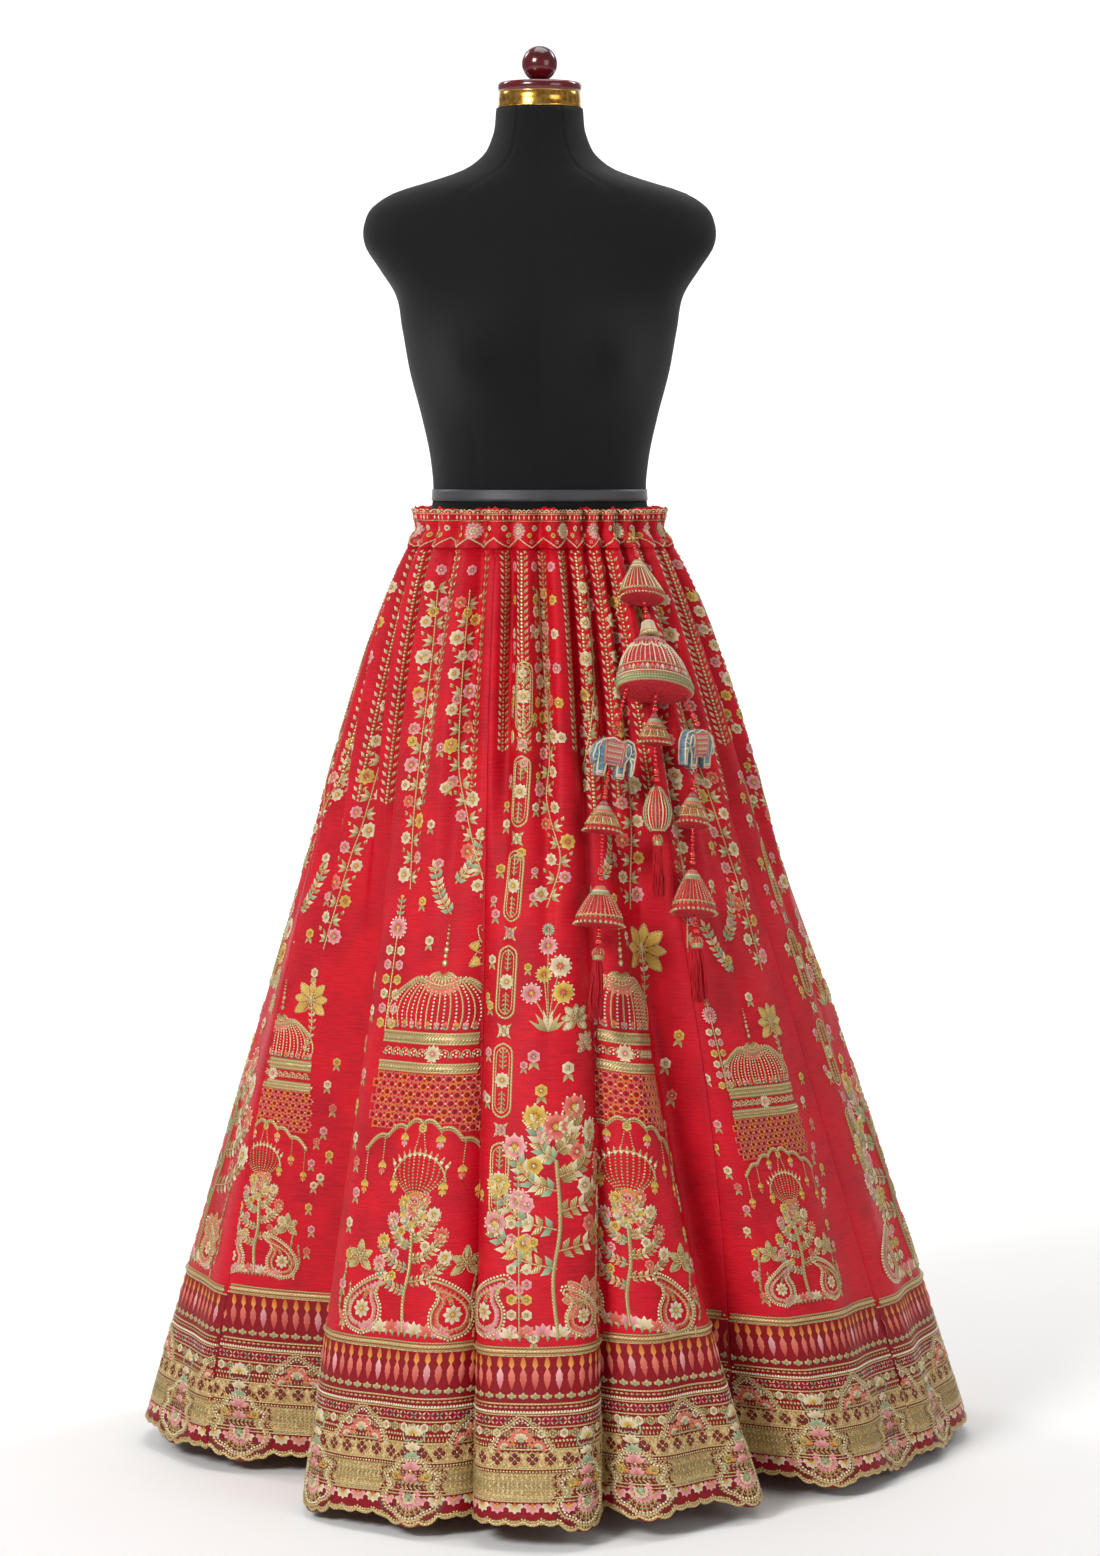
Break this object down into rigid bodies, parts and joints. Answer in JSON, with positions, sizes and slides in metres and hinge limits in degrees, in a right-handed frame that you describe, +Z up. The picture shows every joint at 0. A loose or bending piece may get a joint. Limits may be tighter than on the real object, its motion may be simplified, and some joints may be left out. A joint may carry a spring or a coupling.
{
  "type": "lehenga skirt on dress form",
  "caption": "Gored red silk lehenga skirt with gathered waistband, gold and floral embroidery and hanging ornaments, on a black dress form.",
  "frame": {"origin": "on the floor under the middle of the stand's base", "axes": "+Z up, the skirt's front faces -Y, +X is to the right of someone who looks at the front"},
  "size_m": [0.9767, 0.9494, 1.634],
  "materials": {
    "silk": "crimson raw silk with a slub weave, a soft sheen and raised zari, bead and thread embroidery",
    "band": "gathered crimson silk band with a gold corded edge and thread flowers",
    "gold": "gold metal thread cord and polished ring",
    "bead": "polished red beads",
    "cap": "padded red silk caps ribbed with gold beading",
    "ivory": "ivory and gold bead",
    "padding": "padded blue-grey cloth with bead edging and a coral saddle cloth",
    "thread": "red silk floss",
    "form": "black stretch jersey over a smooth form",
    "tape": "dark grey satin tape",
    "gold_metal": "polished gold metal ring with a red lacquered top",
    "lacquer": "glossy maroon lacquer",
    "steel": "plain dark painted steel"
  },
  "bodies": {
    "root": {"kali_front_centre": "silk", "kali_front_right": "silk", "kali_right_front": "silk", "kali_right_side": "silk", "kali_right_back": "silk", "kali_back_right": "silk", "kali_back_centre": "silk", "kali_back_left": "silk", "kali_left_back": "silk", "kali_left_side": "silk", "kali_left_front": "silk", "kali_front_left": "silk", "waistband": "band", "drawstring_end": "gold", "drawstring_ring": "gold", "latkan_beads_neck": "bead", "latkan_cap_upper": "cap", "latkan_beads_upper": "bead", "latkan_ivory_bell": "ivory", "latkan_cap_main": "cap", "latkan_left_beads_1": "bead", "latkan_left_elephant": "padding", "latkan_left_beads_2": "bead", "latkan_left_cap_small": "cap", "latkan_left_beads_3": "bead", "latkan_left_cap_ribbed": "cap", "latkan_left_beads_4": "bead", "latkan_left_tassel": "thread", "latkan_middle_beads_1": "bead", "latkan_middle_cap_small": "cap", "latkan_middle_beads_2": "bead", "latkan_middle_bud": "cap", "latkan_middle_tassel": "thread", "latkan_right_beads_1": "bead", "latkan_right_elephant": "padding", "latkan_right_beads_2": "bead", "latkan_right_cap_small": "cap", "latkan_right_beads_3": "bead", "latkan_right_cap_ribbed": "cap", "latkan_right_beads_4": "bead", "latkan_right_tassel": "thread", "form_torso": "form", "form_waist_tape": "tape", "neck_cap": "gold_metal", "finial_ball": "lacquer", "stand_pole": "steel", "stand_base": "steel"}
  },
  "joints": []
}
